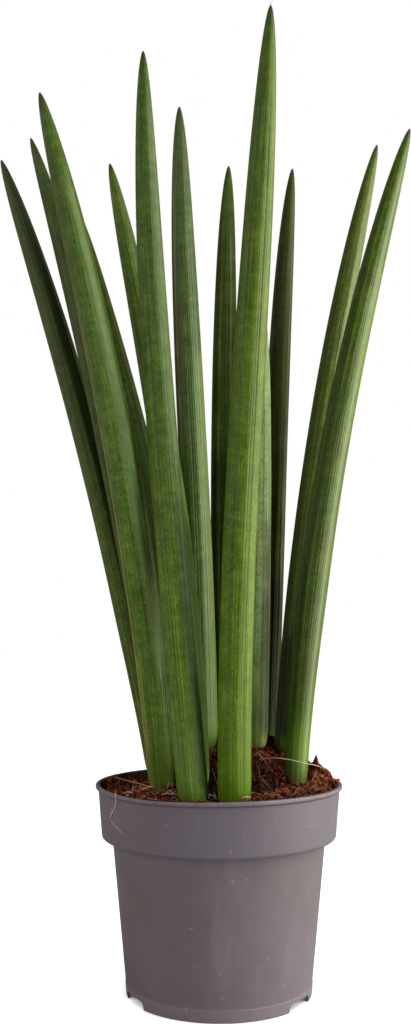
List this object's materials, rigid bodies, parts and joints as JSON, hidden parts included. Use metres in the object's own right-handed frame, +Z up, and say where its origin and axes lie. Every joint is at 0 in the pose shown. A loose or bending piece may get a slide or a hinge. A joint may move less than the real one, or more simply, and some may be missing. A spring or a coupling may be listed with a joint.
{
  "type": "potted cylindrical snake plant",
  "caption": "Cylindrical snake plant: separate round, ribbed, spear-shaped leaves that fan upwards out of coir in a tapered plastic nursery pot with a collared rim.",
  "frame": {"origin": "on the ground, on the axis of the pot, which is the middle of the plant's whole spread to within 3 mm", "axes": "+Z up along the pot's axis; -Y is the front, where the tallest leaf stands; +X is to the right as seen from the front"},
  "size_m": [0.2513, 0.1757, 0.53],
  "materials": {
    "pot_plastic": "matte",
    "coir": "matte",
    "leaf_green": "satin"
  },
  "bodies": {
    "root": {"nursery_pot": "pot_plastic", "potting_soil": "coir", "leaf_01": "leaf_green", "leaf_02": "leaf_green", "leaf_03": "leaf_green", "leaf_04": "leaf_green", "leaf_05": "leaf_green", "leaf_06": "leaf_green", "leaf_07": "leaf_green", "leaf_08": "leaf_green", "leaf_09": "leaf_green", "leaf_10": "leaf_green", "leaf_11": "leaf_green", "leaf_12": "leaf_green", "leaf_13": "leaf_green"}
  },
  "joints": []
}
